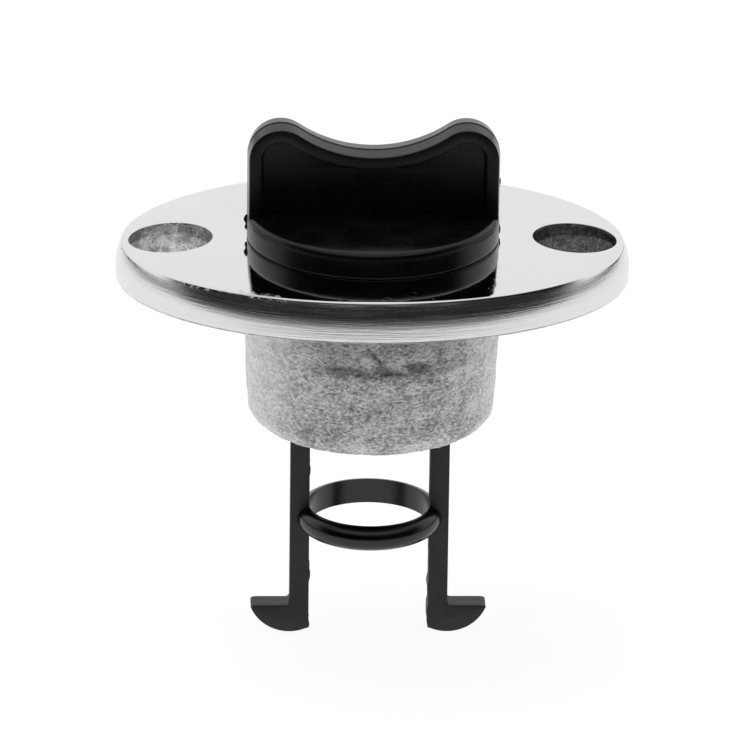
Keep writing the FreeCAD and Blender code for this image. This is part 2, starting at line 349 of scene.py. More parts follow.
class Wire:
    """Value that a node gives; arithmetic on it adds further nodes."""

    def __init__(self, bench: "Bench", socket: bpy.types.NodeSocket) -> None:
        """Keeps the socket and the bench that it belongs to."""
        self.bench = bench
        self.socket = socket

    def __add__(self, other: object) -> "Wire":
        """Sum of two values."""
        return self.bench.math("ADD", self, other)

    def __sub__(self, other: object) -> "Wire":
        """Difference of two values."""
        return self.bench.math("SUBTRACT", self, other)

    def __rsub__(self, other: object) -> "Wire":
        """What is left of a number."""
        return self.bench.math("SUBTRACT", other, self)

    def __mul__(self, other: object) -> "Wire":
        """Product of two values."""
        return self.bench.math("MULTIPLY", self, other)

    def __rtruediv__(self, other: object) -> "Wire":
        """A number divided by the value."""
        return self.bench.math("DIVIDE", other, self)

    def __abs__(self) -> "Wire":
        """The value without its sign."""
        return self.bench.math("ABSOLUTE", self)

    def most(self, other: object) -> "Wire":
        """The greater of two values."""
        return self.bench.math("MAXIMUM", self, other)

    def axis(self, name: str) -> "Wire":
        """One axis of a vector."""
        return self.bench.node("ShaderNodeSeparateXYZ", {0: self}, name)

    def beside(self, name: str) -> "Wire":
        """Another output of the same node."""
        return Wire(self.bench, self.socket.node.outputs[name])

    def span(self, low: float, high: float, start: float = 0.0, end: float = 1.0) -> "Wire":
        """Smooth change from start to end as the value goes from low to high."""
        inputs = {"Value": self, "From Min": low, "From Max": high, "To Min": start, "To Max": end}
        return self.bench.node("ShaderNodeMapRange", inputs, "Result", interpolation_type="SMOOTHSTEP")


@dataclass(frozen=True)
class Grain:
    """A noise.

    Args:
        size: Width of its grains in millimetres.
        detail: Layers of finer grains.
        rough: How strong the finer layers are.
    """

    size: float
    detail: float = 2.0
    rough: float = 0.5


class Bench:
    """Adds nodes to one tree and joins them, so that a finish reads as a list of steps."""

    def __init__(self, tree: bpy.types.NodeTree) -> None:
        """Works on the given tree."""
        self.tree = tree

    def feed(self, socket: bpy.types.NodeSocket, value: object) -> None:
        """Joins a socket to a wire, or sets its value."""
        if isinstance(value, Wire):
            self.tree.links.new(value.socket, socket)
        else:
            socket.default_value = value

    def node(
        self,
        kind: str,
        inputs: dict[str | int, object] | None = None,
        output: str | int = 0,
        **settings: object,
    ) -> Wire:
        """Adds a node.

        Args:
            kind: Its type.
            inputs: What its inputs take, by their names or numbers.
            output: Name or number of the output that is wanted.
            settings: Its properties.

        Returns:
            The wanted output.
        """
        made = self.tree.nodes.new(kind)
        for name, value in settings.items():
            setattr(made, name, value)
        for name, value in (inputs or {}).items():
            self.feed(made.inputs[name], value)
        return Wire(self, made.outputs[output])

    def math(self, operation: str, *values: object, clamp: bool = False) -> Wire:
        """Result of one math step on wires or numbers."""
        return self.node("ShaderNodeMath", dict(enumerate(values)), operation=operation, use_clamp=clamp)

    def vector(self, operation: str, first: Wire, second: object) -> Wire:
        """Result of one vector step; a scale is the second value."""
        key = "Scale" if operation == "SCALE" else 1
        return self.node("ShaderNodeVectorMath", {0: first, key: second}, operation=operation)

    def noise(self, place: Wire, grain: Grain) -> Wire:
        """Noise at a place."""
        inputs = {"Vector": place, "Detail": grain.detail, "Roughness": grain.rough}
        inputs["Scale"] = 1 / (grain.size * MM)
        return self.node("ShaderNodeTexNoise", inputs)

    def mark(self, name: str) -> Wire:
        """Value of a vertex attribute, 0 where a mesh has none."""
        return self.node("ShaderNodeAttribute", output="Fac", attribute_name=name)

    def ray(self, kind: str) -> Wire:
        """Whether a ray is of a kind."""
        return self.node("ShaderNodeLightPath", output=f"Is {kind} Ray")

    def stretch(self, place: Wire, scale: Triple, turn: float = 0.0, seed: float = 0.0) -> Wire:
        """Coordinates turned about Z and drawn out, so that what they feed becomes long and thin."""
        inputs = {"Vector": place, "Angle": turn}
        aligned = self.node("ShaderNodeVectorRotate", inputs, rotation_type="Z_AXIS")
        return self.vector("ADD", self.vector("MULTIPLY", aligned, scale), (seed, seed, seed))

    def tint(self, share: object, first: object, second: object) -> Wire:
        """Colour between two colours."""
        return self.node("ShaderNodeMix", {0: share, 6: first, 7: second}, 2, data_type="RGBA")

    def blend(self, share: object, first: object, second: object) -> Wire:
        """Number between two numbers."""
        return self.node("ShaderNodeMix", {0: share, 2: first, 3: second}, data_type="FLOAT")

    def bump(self, height: Wire, depth: float, below: Wire | None = None) -> Wire:
        """Normal of a relief whose height of 1 is as many millimetres deep, on top of another."""
        inputs = {"Height": height, "Strength": 1.0, "Distance": depth * MM}
        if below is not None:
            inputs["Normal"] = below
        return self.node("ShaderNodeBump", inputs, "Normal")


def grey(level: float, warmth: float = 0.0) -> Colour:
    """Opaque grey, a little warm or cool."""
    return (level * (1 + warmth), level, level * (1 - warmth), 1.0)


class Finish:
    """Base of the finishes: makes the material and feeds its shader once."""

    name: str = "finish"

    def make(self) -> bpy.types.Material:
        """The finish as a material, made the first time it is asked for."""
        material = bpy.data.materials.get(self.name)
        if material is None:
            material = bpy.data.materials.new(self.name)
            material.use_nodes = True
            bench = Bench(material.node_tree)
            shader = material.node_tree.nodes["Principled BSDF"]
            place = bench.node("ShaderNodeTexCoord", output="Object")
            for name, value in self.dress(bench, place).items():
                bench.feed(shader.inputs[name], value)
        return material

    def dress(self, bench: Bench, place: Wire) -> dict[str, object]:
        """What the shader's inputs take; each finish has its own way.

        Args:
            bench: Adds the nodes.
            place: Object coordinates.

        Returns:
            Wires and numbers by the names of the inputs.
        """
        raise NotImplementedError


@dataclass(frozen=True)
class SteelFinish(Finish):
    """Cast stainless steel: polished top, brushed wall, bare recesses, the rest as it left the mould; its
    cast skin carries painted light and shade, and its right-hand recess painted shade.
    """

    name: str = "cast_and_polished_stainless"
    polished_level: float = 0.76
    polished_dip: float = 0.94
    brushed_level: float = 0.74
    cast_light: float = 0.74
    cast_dark: float = 0.30
    # The next two set painted light, which lightens the barrel's left and right sides.
    side_light_level: float = 0.95
    side_light_share: float = 0.62
    # Painted shade under the flange; the lap mark and this shade share the dark grey below and its depth.
    flange_shade_share: float = 0.5
    lap_and_shade_level: float = 0.06
    lap_and_shade_depth: float = 0.74
    stain_height: float = -8.0
    stain_wave: float = 3.0
    middle_x: float = 1.5
    bare_light: float = 0.90
    bare_dark: float = 0.42
    # The next two set painted shade, which darkens the right-hand screw recess towards near-black.
    recess_unshaded_share: float = 0.22
    recess_shade_level: float = 0.03
    polished_roughness: float = 0.06
    brushed_roughness: float = 0.20
    bare_roughness: float = 0.30
    cast_roughness: float = 0.56
    uneven: float = 0.08
    cloud: Grain = Grain(9.0, 3.0)
    speckle: Grain = Grain(0.7, 4.0, 0.6)
    streak: Grain = Grain(0.20, 2.0)
    streak_shape: Triple = (0.028, 0.028, 1.0)
    patch: Grain = Grain(1.6, 4.0, 0.65)
    ding: Grain = Grain(0.8, 4.0, 0.7)
    pit: Grain = Grain(0.42, 3.0, 0.6)
    fine: Grain = Grain(0.32, 2.0, 0.6)
    fine_shape: Triple = (0.6, 0.6, 1.0)
    mottle: Grain = Grain(3.5, 3.0, 0.6)
    mottle_share: float = 0.38
    wobble: Grain = Grain(7.0, 3.0)
    breaks: Grain = Grain(2.6, 4.0, 0.65)
    scratch: Grain = Grain(0.16, 1.0)
    scratch_shape: Triple = (0.03, 1.0, 0.3)
    scratch_ways: tuple[Pair, ...] = ((0.6, 3.0), (-0.9, 8.0))
    few: Grain = Grain(6.0, 2.0)
    patch_range: Pair = (0.35, 0.65)
    # X range over which the painted shade of the right-hand screw recess comes in.
    dullness_and_shade_range: Pair = (-5 * MM, 5 * MM)
    change_range: Pair = (0.3, 0.7)
    ding_range: Pair = (0.52, 0.66)
    mottle_range: Pair = (0.36, 0.62)
    # Distance from the middle over which the painted light on the barrel's sides comes in.
    side_light_range: Pair = (10.0 * MM, 20.0 * MM)
    lap_range: Pair = (0.3 * MM, 2.0 * MM)
    middle_range: Pair = (5.0 * MM, 14.0 * MM)
    break_range: Pair = (0.34, 0.54)
    # Painted shade under the flange: the heights over which it comes in, and how it thins towards the
    # sides.
    flange_shade_range: Pair = (-11.0 * MM, -3.0 * MM)
    flange_shade_sides: Pair = (6.0 * MM, 17.0 * MM)
    flange_shade_least: float = 0.25
    scratch_range: Pair = (0.66, 0.72)
    few_range: Pair = (0.56, 0.62)
    cloud_bump: float = 0.02
    streak_bump: float = 0.022
    scratch_bump: float = 0.002
    ding_bump: float = -0.05
    pit_bump: float = 0.26

    def dress(self, bench: Bench, place: Wire) -> dict[str, object]:
        """What the shader's inputs take; vertex marks say where each kind of surface is."""
        cast, brushed, bare, worn = (bench.mark(name) for name in (CAST, BRUSHED, BARE, WORN))
        cloud = bench.noise(place, self.cloud)
        streaks = bench.noise(bench.stretch(place, self.streak_shape), self.streak)
        level = self.polished_level
        polished = bench.tint(cloud, grey(level * self.polished_dip), grey(level))
        polished = bench.tint(brushed, polished, grey(self.brushed_level))
        patch = bench.noise(place, self.patch).span(*self.patch_range)
        plain = bench.tint(patch, grey(self.bare_dark), grey(self.bare_light))
        # Painted shade: the screw recess on the +X side is darkened towards near-black.
        right_recess_shade = place.axis("X").span(*self.dullness_and_shade_range) * (1 - self.recess_unshaded_share)
        plain = bench.tint(right_recess_shade, plain, grey(self.recess_shade_level))
        rough = bench.blend(brushed, self.polished_roughness, self.brushed_roughness)
        rough = bench.blend(bare, bench.blend(cast, rough, self.cast_roughness), self.bare_roughness)
        change = bench.blend(brushed, bench.noise(place, self.speckle), streaks).span(*self.change_range)
        normal = bench.bump(cloud, self.cloud_bump)
        normal = bench.bump(streaks * brushed, self.streak_bump, normal)
        normal = bench.bump(self.scratches(bench, place) * (1.0 - cast), self.scratch_bump, normal)
        dings = bench.noise(place, self.ding).span(*self.ding_range) * worn
        normal = bench.bump(dings, self.ding_bump, normal)
        pits = bench.noise(place, self.pit) * cast.most(bare)
        colour = bench.tint(cast, polished, self.mould_colour(bench, place))
        return {
            "Metallic": 1.0,
            "Base Color": bench.tint(bare, colour, plain),
            "Roughness": rough + change * self.uneven * cast.most(brushed.most(bare)),
            "Normal": bench.bump(pits, self.pit_bump, normal),
        }

    def mould_colour(self, bench: Bench, place: Wire) -> Wire:
        """Colour of the cast skin: mottled, with painted light on its left and right sides, a broken dark
        lap and painted shade under the flange, strongest at the front and back.
        """
        height = place.axis("Z")
        sideways = abs(place.axis("X") - self.middle_x * MM)
        fine = bench.noise(bench.stretch(place, self.fine_shape), self.fine)
        mixed = bench.blend(self.mottle_share, fine, bench.noise(place, self.mottle))
        skin = bench.tint(mixed.span(*self.mottle_range), grey(self.cast_dark), grey(self.cast_light))
        # Painted light: the skin is lightened on its left and right sides.
        side_lit = sideways.span(*self.side_light_range, 0.0, self.side_light_share)
        skin = bench.tint(side_lit, skin, grey(self.side_light_level))
        wobble = (bench.noise(place, self.wobble) - 0.5) * (self.stain_wave * MM)
        lap = abs(height - self.stain_height * MM + wobble).span(*self.lap_range, 1.0, 0.0)
        middle = sideways.span(*self.middle_range, 1.0, 0.0)
        broken = bench.noise(place, self.breaks).span(*self.break_range) * middle
        # Painted shade: the skin darkens just under the flange, most at the front and back; the lap mark
        # and this shade share one dark grey.
        under_flange_shade = height.span(*self.flange_shade_range, 0.0, self.flange_shade_share)
        lap_and_shade = (lap * broken).most(under_flange_shade * sideways.span(*self.flange_shade_sides, 1.0, self.flange_shade_least))
        return bench.tint(lap_and_shade * self.lap_and_shade_depth, skin, grey(self.lap_and_shade_level))

    def scratches(self, bench: Bench, place: Wire) -> Wire:
        """A few fine scratches that run two ways."""
        ways = []
        for turn, seed in self.scratch_ways:
            lines = bench.noise(bench.stretch(place, self.scratch_shape, turn, seed), self.scratch)
            few = bench.noise(place, Grain(self.few.size + seed, self.few.detail))
            ways.append(lines.span(*self.scratch_range) * few.span(*self.few_range))
        return ways[0].most(ways[1])


@dataclass(frozen=True)
class NylonFinish(Finish):
    """Moulded black nylon: smooth above the barrel, satin legs and a glossier brace ring."""

    name: str = "moulded_black_nylon"
    refraction: float = 1.52
    dark: float = 0.0006
    light: float = 0.0018
    smooth: float = 0.20
    satin: float = 0.44
    glossy: float = 0.16
    uneven: float = 0.10
    specular: float = 0.27
    satin_specular: float = 0.45
    satin_range: Pair = (-20 * MM, -12 * MM)
    ring_range: Pair = (1.9 * MM, 2.6 * MM)
    cloud: Grain = Grain(5.0, 4.0, 0.6)
    speckle: Grain = Grain(0.16, 3.0, 0.6)
    cloud_range: Pair = (0.3, 0.7)
    change_range: Pair = (0.35, 0.65)
    flow_bump: float = 0.03
    speckle_bump: float = 0.012

    def dress(self, bench: Bench, place: Wire) -> dict[str, object]:
        """What the shader's inputs take; height and depth say where the satin parts are."""
        cloud = bench.noise(place, self.cloud)
        speckle = bench.noise(place, self.speckle)
        height = place.axis("Z")
        low = abs(place.axis("Y")).span(*self.ring_range, self.satin, self.glossy)
        change = bench.blend(0.5, cloud, speckle).span(*self.change_range, 0.0, self.uneven)
        return {
            "IOR": self.refraction,
            "Base Color": bench.tint(cloud.span(*self.cloud_range), grey(self.dark), grey(self.light)),
            "Specular IOR Level": height.span(*self.satin_range, self.satin_specular, self.specular),
            "Roughness": height.span(*self.satin_range, low, self.smooth) + change,
            "Normal": bench.bump(speckle, self.speckle_bump, bench.bump(cloud, self.flow_bump)),
        }


@dataclass(frozen=True)
class RubberFinish(Finish):
    """Dull black rubber with a dusty bloom."""

    name: str = "seal_rubber_black"
    dark: float = 0.012
    light: float = 0.030
    warmth: float = 0.03
    roughness: float = 0.62
    uneven: float = 0.15
    bloom: Grain = Grain(2.2, 5.0, 0.65)
    bloom_range: Pair = (0.35, 0.7)
    dullness_and_shade_range: Pair = (0.3, 0.7)
    speckle: Grain = Grain(0.25, 3.0)
    speckle_bump: float = 0.02

    def dress(self, bench: Bench, place: Wire) -> dict[str, object]:
        """What the shader's inputs take."""
        bloom = bench.noise(place, self.bloom)
        return {
            "Base Color": bench.tint(
                bloom.span(*self.bloom_range), grey(self.dark), grey(self.light, self.warmth),
            ),
            "Roughness": bloom.span(*self.dullness_and_shade_range, self.roughness, self.roughness + self.uneven),
            "Normal": bench.bump(bench.noise(place, self.speckle), self.speckle_bump),
        }


class Tree:
    """A Geometry Nodes tree with named inputs, ready to run on one piece."""

    def __init__(self, name: str) -> None:
        """Makes an empty tree with a geometry input and output."""
        self.group = bpy.data.node_groups.new(name, "GeometryNodeTree")
        self.keys: dict[str, str] = {}
        for way in ("INPUT", "OUTPUT"):
            self.group.interface.new_socket("Geometry", in_out=way, socket_type="NodeSocketGeometry")
        self.bench = Bench(self.group)
        self.source = self.group.nodes.new("NodeGroupInput")
        self.sink = self.group.nodes.new("NodeGroupOutput")

    def value(self, name: str, kind: str = "NodeSocketFloat") -> Wire:
        """A named input of the tree."""
        item = self.group.interface.new_socket(name, in_out="INPUT", socket_type=kind)
        self.keys[name] = item.identifier
        return Wire(self.bench, self.source.outputs[name])

    def finish(self, shape: Wire) -> None:
        """Ends the tree in real geometry that carries the material."""
        real = self.bench.node("GeometryNodeRealizeInstances", {0: shape})
        inputs = {"Geometry": real, "Material": self.value("Material", "NodeSocketMaterial")}
        self.bench.feed(self.sink.inputs[0], self.bench.node("GeometryNodeSetMaterial", inputs))

    def run(self, piece: bpy.types.Object, **values: object) -> None:
        """Runs the tree on a piece and leaves the result as its plain mesh.

        Args:
            piece: The object whose mesh goes in and is replaced.
            values: The tree's inputs, by name with _ for spaces.
        """
        step = piece.modifiers.new(self.group.name, "NODES")
        step.node_group = self.group
        for name, value in values.items():
            step[self.keys[name.replace("_", " ")]] = value
        graph = bpy.context.evaluated_depsgraph_get()
        done = piece.evaluated_get(graph)
        made = bpy.data.meshes.new_from_object(done, preserve_all_data_layers=True, depsgraph=graph)
        piece.modifiers.remove(step)
        made.name = piece.name
        piece.data = made


def mould_skin_tree() -> Tree:
    """Tree that gives a mesh the grain and the dents of a mould, where its cast attribute asks for them."""
    tree = Tree("mould_skin")
    bench = tree.bench
    names = ("Grain Size", "Grain Height", "Dent Size", "Dent Height", "Wave Height", "Pit Depth", "Seed")
    grain_size, grain_height, dent_size, dent_height, wave_height, pit_depth, seed = map(tree.value, names)
    place = bench.vector("ADD", bench.node("GeometryNodeInputPosition"), seed)
    cast = bench.node("GeometryNodeInputNamedAttribute", {"Name": CAST}, data_type="FLOAT")

    def relief(size: Wire, height: Wire, detail: float) -> Wire:
        """Noise of a size, as high as asked, about zero."""
        inputs = {"Vector": place, "Scale": 1.0 / size, "Detail": detail}
        return (bench.node("ShaderNodeTexNoise", inputs) - 0.5) * height

    spacing = {"Vector": place, "Scale": PIT_SPACING / dent_size}
    cells = bench.node("ShaderNodeTexVoronoi", spacing, "Distance")
    chosen = cells.beside("Color").axis("X").span(*PIT_CHOICE)
    pits = cells.span(*PIT_EDGE, 1.0, 0.0) * chosen * pit_depth
    grain = relief(grain_size, grain_height, detail=3.0)
    rough = grain + relief(dent_size, dent_height, detail=2.0) - pits
    lift = rough * cast + relief(dent_size * WAVE_SHARE, wave_height, detail=1.0)
    away = bench.vector("SCALE", bench.node("GeometryNodeInputNormal"), lift)
    shape = Wire(bench, tree.source.outputs["Geometry"])
    tree.finish(bench.node("GeometryNodeSetPosition", {"Geometry": shape, "Offset": away}))
    return tree


def thread_ridge_tree() -> Tree:
    """Tree that winds the ridges of a multi-start thread, fading out at both ends."""
    tree = Tree("thread_ridges")
    bench = tree.bench
    sizes = ("Base Radius", "Rise", "Half Width", "Crest Share")
    base, rise, half_width, crest_share = map(tree.value, sizes)
    windings = ("Lead", "Turns", "Low", "First Turn", "Fade Turns")
    lead, turns, low, first_turn, fade = map(tree.value, windings)
    starts = tree.value("Starts", "NodeSocketInt")
    size = {"Size X": 1.0, "Size Y": 1.0, "Vertices X": RIDGE_STEPS, "Vertices Y": len(RIDGE_HEIGHTS)}
    spot = bench.node("GeometryNodeInputPosition")
    across = spot.axis("Y") + 0.5
    wound_by = (spot.axis("X") + 0.5) * turns
    nearest = bench.math("MINIMUM", wound_by, turns - wound_by)
    share = bench.math("DIVIDE", nearest, fade, clamp=True)
    height = section_curve(bench, across, RIDGE_HEIGHTS)
    sideways = section_curve(bench, across, RIDGE_PLACES)
    radius = base + height * rise * share
    offset = (sideways * 2.0 - 1.0) * half_width * (bench.blend(height, 1.0, crest_share) * share)
    angle = (wound_by + first_turn) * (2 * math.pi)
    round_axis = [radius * bench.math(operation, angle) for operation in ("COSINE", "SINE")]
    places = [*round_axis, low + wound_by * lead + offset]
    point = bench.node("ShaderNodeCombineXYZ", dict(enumerate(places)))
    wound = {"Geometry": bench.node("GeometryNodeMeshGrid", size), "Position": point}
    closed = {"Geometry": bench.node("GeometryNodeSetPosition", wound), "Distance": WELD}
    spots = bench.node("GeometryNodeMeshLine", {"Count": starts, "Offset": (0.0, 0.0, 0.0)})
    spin = bench.node("GeometryNodeInputIndex") * ((2 * math.pi) / starts)
    copies = {
        "Points": spots,
        "Instance": bench.node("GeometryNodeMergeByDistance", closed),
        "Rotation": bench.node("ShaderNodeCombineXYZ", {2: spin}),
    }
    tree.finish(bench.node("GeometryNodeInstanceOnPoints", copies))
    return tree


def section_curve(bench: Bench, across: Wire, values: Sequence[float]) -> Wire:
    """Straight-sided curve through evenly spaced values."""
    curve = bench.node("ShaderNodeFloatCurve", {"Value": across})
    mapping = curve.socket.node.mapping
    points = mapping.curves[0].points
    last = len(values) - 1
    for index, value in enumerate(values):
        if index in (0, last):
            point = points[0 if index == 0 else -1]
        else:
            point = points.new(index / last, value)
        point.location = (index / last, value)
    for point in points:
        point.handle_type = "VECTOR"
    mapping.update()
    return curve


def mark(piece: bpy.types.Object, name: str, rule: Callable[[np.ndarray], np.ndarray]) -> None:
    """Notes a share from 0 to 1 on each point of a piece.

    Args:
        piece: The object to mark.
        name: Name of the mark.
        rule: Gives the share for points in millimetres.
    """
    mesh = piece.data
    flat = np.zeros(len(mesh.vertices) * 3)
    mesh.vertices.foreach_get("co", flat)
    share = rule(flat.reshape(-1, 3) / MM)
    mesh.attributes.new(name, "FLOAT", "POINT").data.foreach_set("value", share.astype(np.float32))


def step_up(value: np.ndarray, low: float, high: float) -> np.ndarray:
    """Smooth rise from 0 to 1 as a value goes from low to high."""
    share = np.clip((value - low) / (high - low), 0.0, 1.0)
    return share * share * (3 - 2 * share)


def install(piece: bpy.types.Object, body: Body, node: Node, slot: Slot) -> None:
    """Lets a piece ride on its body and stand for its solid."""
    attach(piece, body.value)
    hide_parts(node.value)
    LOG.info("%s: %d faces", piece.name, len(piece.data.polygons))


@dataclass
class ThreadFit:
    """Sizes that the shank's thread and the bore's thread share."""

    starts: int = 2
    lead: float = 6.0
    crest_radius: float = 15.2
    depth: float = 1.3
    root_width: float = 1.6
    crest_width: float = 0.9
    radial_clearance: float = 0.2
    axial_clearance: float = 0.2
    bite: float = 0.35
    origin_height: float = -28.0
    fade_turns: float = 0.16
    crease: float = 30.0

    @property
    def root_radius(self) -> float:
        """Radius of the shank between its ridges."""
        return self.crest_radius - self.depth

    @property
    def bore_radius(self) -> float:
        """Radius of the bore between its ridges."""
        return self.crest_radius + self.radial_clearance

    @property
    def bore_crest(self) -> float:
        """Radius inside the bore's ridges."""
        return self.root_radius + self.radial_clearance

    @property
    def flank(self) -> float:
        """Width that a ridge loses for each millimetre of height."""
        return (self.root_width - self.crest_width) / self.depth

    def wind(
        self, name: str, tree: Tree, base: float, rise: float, widths: Pair, heights: Pair, shift: float,
        surface: bpy.types.Material,
    ) -> bpy.types.Object:
        """Winds one thread.

        Args:
            name: Name of the piece.
            tree: The thread tree.
            base: Radius of the ridge's foot, inside the wall that carries it.
            rise: Height of the ridge from its foot; negative points inwards.
            widths: Width of the ridge at its foot and at its crest.
            heights: Lowest and highest place of the ridge's middle.
            shift: Height by which the thread is moved against the shank's.
            surface: Its material.

        Returns:
            The piece.
        """
        piece = link(name, bpy.data.meshes.new(name))
        low, high = heights
        tree.run(
            piece,
            Base_Radius=base * MM,
            Rise=rise * MM,
            Half_Width=widths[0] / 2 * MM,
            Crest_Share=widths[1] / widths[0],
            Lead=self.lead * MM,
            Turns=(high - low) / self.lead,
            Low=low * MM,
            First_Turn=(low - self.origin_height - shift) / self.lead,
            Fade_Turns=self.fade_turns,
            Starts=self.starts,
            Material=surface,
        )
        settle(piece.data, self.crease, weld=False)
        return piece


@dataclass(frozen=True)
class Skin:
    """Relief of a surface as it left the mould.

    Args:
        grain_size: Width of its grains.
        grain_height: Height of its grains.
        dent_size: Width of its dents.
        dent_height: Height of its dents.
        wave_height: Height of its slow waves.
        pit_depth: Depth of its pits.
        seed: Shifts the pattern.
    """

    grain_size: float
    grain_height: float
    dent_size: float
    dent_height: float
    wave_height: float
    pit_depth: float
    seed: float

    def grow(self, piece: bpy.types.Object, tree: Tree, surface: bpy.types.Material) -> None:
        """Gives a piece the relief and its material by way of the skin tree."""
        tree.run(
            piece,
            Grain_Size=self.grain_size * MM,
            Grain_Height=self.grain_height * MM,
            Dent_Size=self.dent_size * MM,
            Dent_Height=self.dent_height * MM,
            Wave_Height=self.wave_height * MM,
            Pit_Depth=self.pit_depth * MM,
            Seed=self.seed,
            Material=surface,
        )


@dataclass(frozen=True)
class Nick:
    """Short groove or ridge that the mould left on the front of the barrel.

    Args:
        start: (x, z) of one end.
        end: (x, z) of the other end.
        reach: Distance at which it has nearly faded out.
        depth: How deep it is; negative for a ridge.
    """

    start: Pair
    end: Pair
    reach: float
    depth: float

    def cut(self, rows: np.ndarray, least: float) -> np.ndarray:
        """Moves the points near it towards the axis.

        Args:
            rows: An array of rows by columns by 3.
            least: Radius below which points stay where they are.

        Returns:
            The moved points.
        """
        first = np.array(self.start)
        run = np.array(self.end) - first
        seen = rows[:, :, (0, 2)] - first
        share = np.clip(seen @ run / (run @ run), 0.0, 1.0)
        away = np.linalg.norm(seen - share[:, :, None] * run, axis=2)
        radius = np.hypot(rows[:, :, 0], rows[:, :, 1])
        front = (rows[:, :, 1] < 0) & (radius > least)
        shift = np.where(front, self.depth * np.exp(-(away / self.reach) ** 2), 0.0)
        moved = rows.copy()
        moved[:, :, :2] *= (1 - shift / np.maximum(radius, 1.0))[:, :, None]
        return moved


@dataclass
class Socket:
    """Cast socket: oval flange, countersunk holes, barrel and threaded bore."""

    half_length: float = 37.5
    half_width: float = 28.0
    face_top: float = 6.1
    flat_radius: float = 19.0
    fall_radius: float = 210.0
    foot_ease: float = 0.25
    foot_height: float = 0.5
    wall_upright: float = 2.0
    wall_lean: float = 3.1
    wall_rise: float = 6.6
    edge_ease: float = 0.16
    gland_radius: float = 16.7
    gland_floor: float = 4.0
    mouth_ease: float = 0.4
    screw_x: float = 29.5
    hole_radius: float = 3.2
    recess_radius: float = 6.15
    recess_depth: float = 1.9
    recess_ease: float = 0.09
    recess_foot: float = 0.1
    hole_ease: float = 0.15
    sleeve_radius: float = 17.2
    barrel_root: float = 19.05
    barrel_end: float = 17.95
    barrel_length: float = 22.0
    barrel_round: float = 2.6
    barrel_bury: float = 0.4
    lip_height: float = 3.0
    lip_ease: float = 0.5
    skin_wall: float = 1.0
    ridge_heights: Pair = (-17.5, 2.1)
    flange_columns: int = 480
    seat_columns: int = 288
    screw_columns: int = 128
    barrel_columns: int = 540
    upright_levels: int = 4
    wall_steps: int = 12
    edge_steps: int = 6
    edge_tries: int = 40
    brim_shares: Pair = (0.35, 0.7)
    barrel_ease_steps: int = 14
    sheet_spacing: float = 0.7
    skin_step: float = 0.24
    cast_range: Pair = (0.05, 0.35)
    outside_range: Pair = (1.0, 1.01)
    brushed_range: Pair = (0.1, 0.5)
    sunk_range: Pair = (0.03, 0.15)
    bare_fade: float = 0.3
    worn_start: Pair = (-31.0, -26.0)
    worn_end: Pair = (-16.0, -11.0)
    worn_reach: float = 0.985
    worn_range: Pair = (0.006, 0.03)
    tip_share: float = 0.35
    tip_end: Pair = (-35.0, -33.2)
    tip_range: Pair = (4.6, 4.9)
    machined_top: float = 0.05
    rough_range: Pair = (0.4, 0.9)
    flange_skin: Skin = Skin(0.9, 0.06, 2.6, 0.10, 0.02, 0.0, 0.31)
    barrel_skin: Skin = Skin(0.70, 0.38, 2.6, 0.40, 0.0, 0.10, 0.17)
    thread: ThreadFit = field(default_factory=ThreadFit)
    nicks: tuple[Nick, ...] = (
        Nick((-1.0, -4.3), (0.7, -6.4), 0.26, 0.40),
        Nick((-1.7, -5.3), (-1.2, -5.8), 0.50, -0.30),
        Nick((-10.3, -7.0), (-9.9, -9.8), 0.26, 0.22),
        Nick((-3.5, -13.4), (-3.1, -13.6), 0.34, 0.28),
        Nick((9.2, -8.4), (10.4, -8.5), 0.24, 0.22),
        Nick((-2.8, -8.5), (-0.6, -8.2), 0.24, 0.16),
        Nick((1.4, -8.1), (4.2, -8.4), 0.24, 0.18),
    )
    finish: SteelFinish = SteelFinish()

    def face(self, plan: np.ndarray) -> np.ndarray:
        """Height of the top face above plan points: flat in the middle, then falling in an arc."""
        out = np.maximum(np.hypot(plan[..., 0], plan[..., 1]) - self.flat_radius, 0.0)
        return self.face_top - self.fall_radius + np.sqrt(self.fall_radius ** 2 - out ** 2)

    def oval(self, inset: np.ndarray | float) -> np.ndarray:
        """Plan points of the outline, moved inwards."""
        turn = np.linspace(0, 2 * math.pi, self.flange_columns, endpoint=False)
        x = (self.half_length - inset) * np.cos(turn)
        y = (self.half_width - inset) * np.sin(turn)
        return np.stack([x, y], axis=1)

    def upright_row(self, inset: float, height: float) -> np.ndarray:
        """Level row of the wall's foot."""
        return np.column_stack([self.oval(inset), np.full(self.flange_columns, height)])

    def wall_row(self, share: np.ndarray) -> np.ndarray:
        """Row of the side wall at a share of its full rise."""
        plan = self.oval(self.wall_lean * share ** 2)
        return np.column_stack([plan, self.wall_upright + self.wall_rise * share])

    def edge_share(self) -> np.ndarray:
        """Share of the wall's rise at which it meets the top face, all round."""
        share = np.full(self.flange_columns, 0.5)
        for _ in range(self.edge_tries):
            share = (self.face(self.wall_row(share)) - self.wall_upright) / self.wall_rise
        return share

    def side_rows(self) -> np.ndarray:
        """Rows of the side wall, from the underside to just inside the top edge."""
        rows = []
        for fall, reach in quarter(EASE_STEPS):
            rows.append(self.upright_row(self.foot_ease * (1 - reach), self.foot_height * fall))
        for height in np.linspace(self.foot_height, self.wall_upright, self.upright_levels)[1:]:
            rows.append(self.upright_row(0.0, height))
        edge = self.edge_share()
        stop = edge - self.edge_ease / self.wall_rise
        steps = self.wall_steps
        rows += [self.wall_row(stop * step / steps) for step in range(1, steps)]
        plan = self.oval(self.wall_lean * edge ** 2 + self.edge_ease)
        inner = np.column_stack([plan, self.face(plan)])
        ends = zip(self.wall_row(stop), self.wall_row(edge), inner)
        arcs = [bend(*points, self.edge_steps) for points in ends]
        rows.extend(np.array(arcs).transpose(1, 0, 2))
        return np.array(rows)

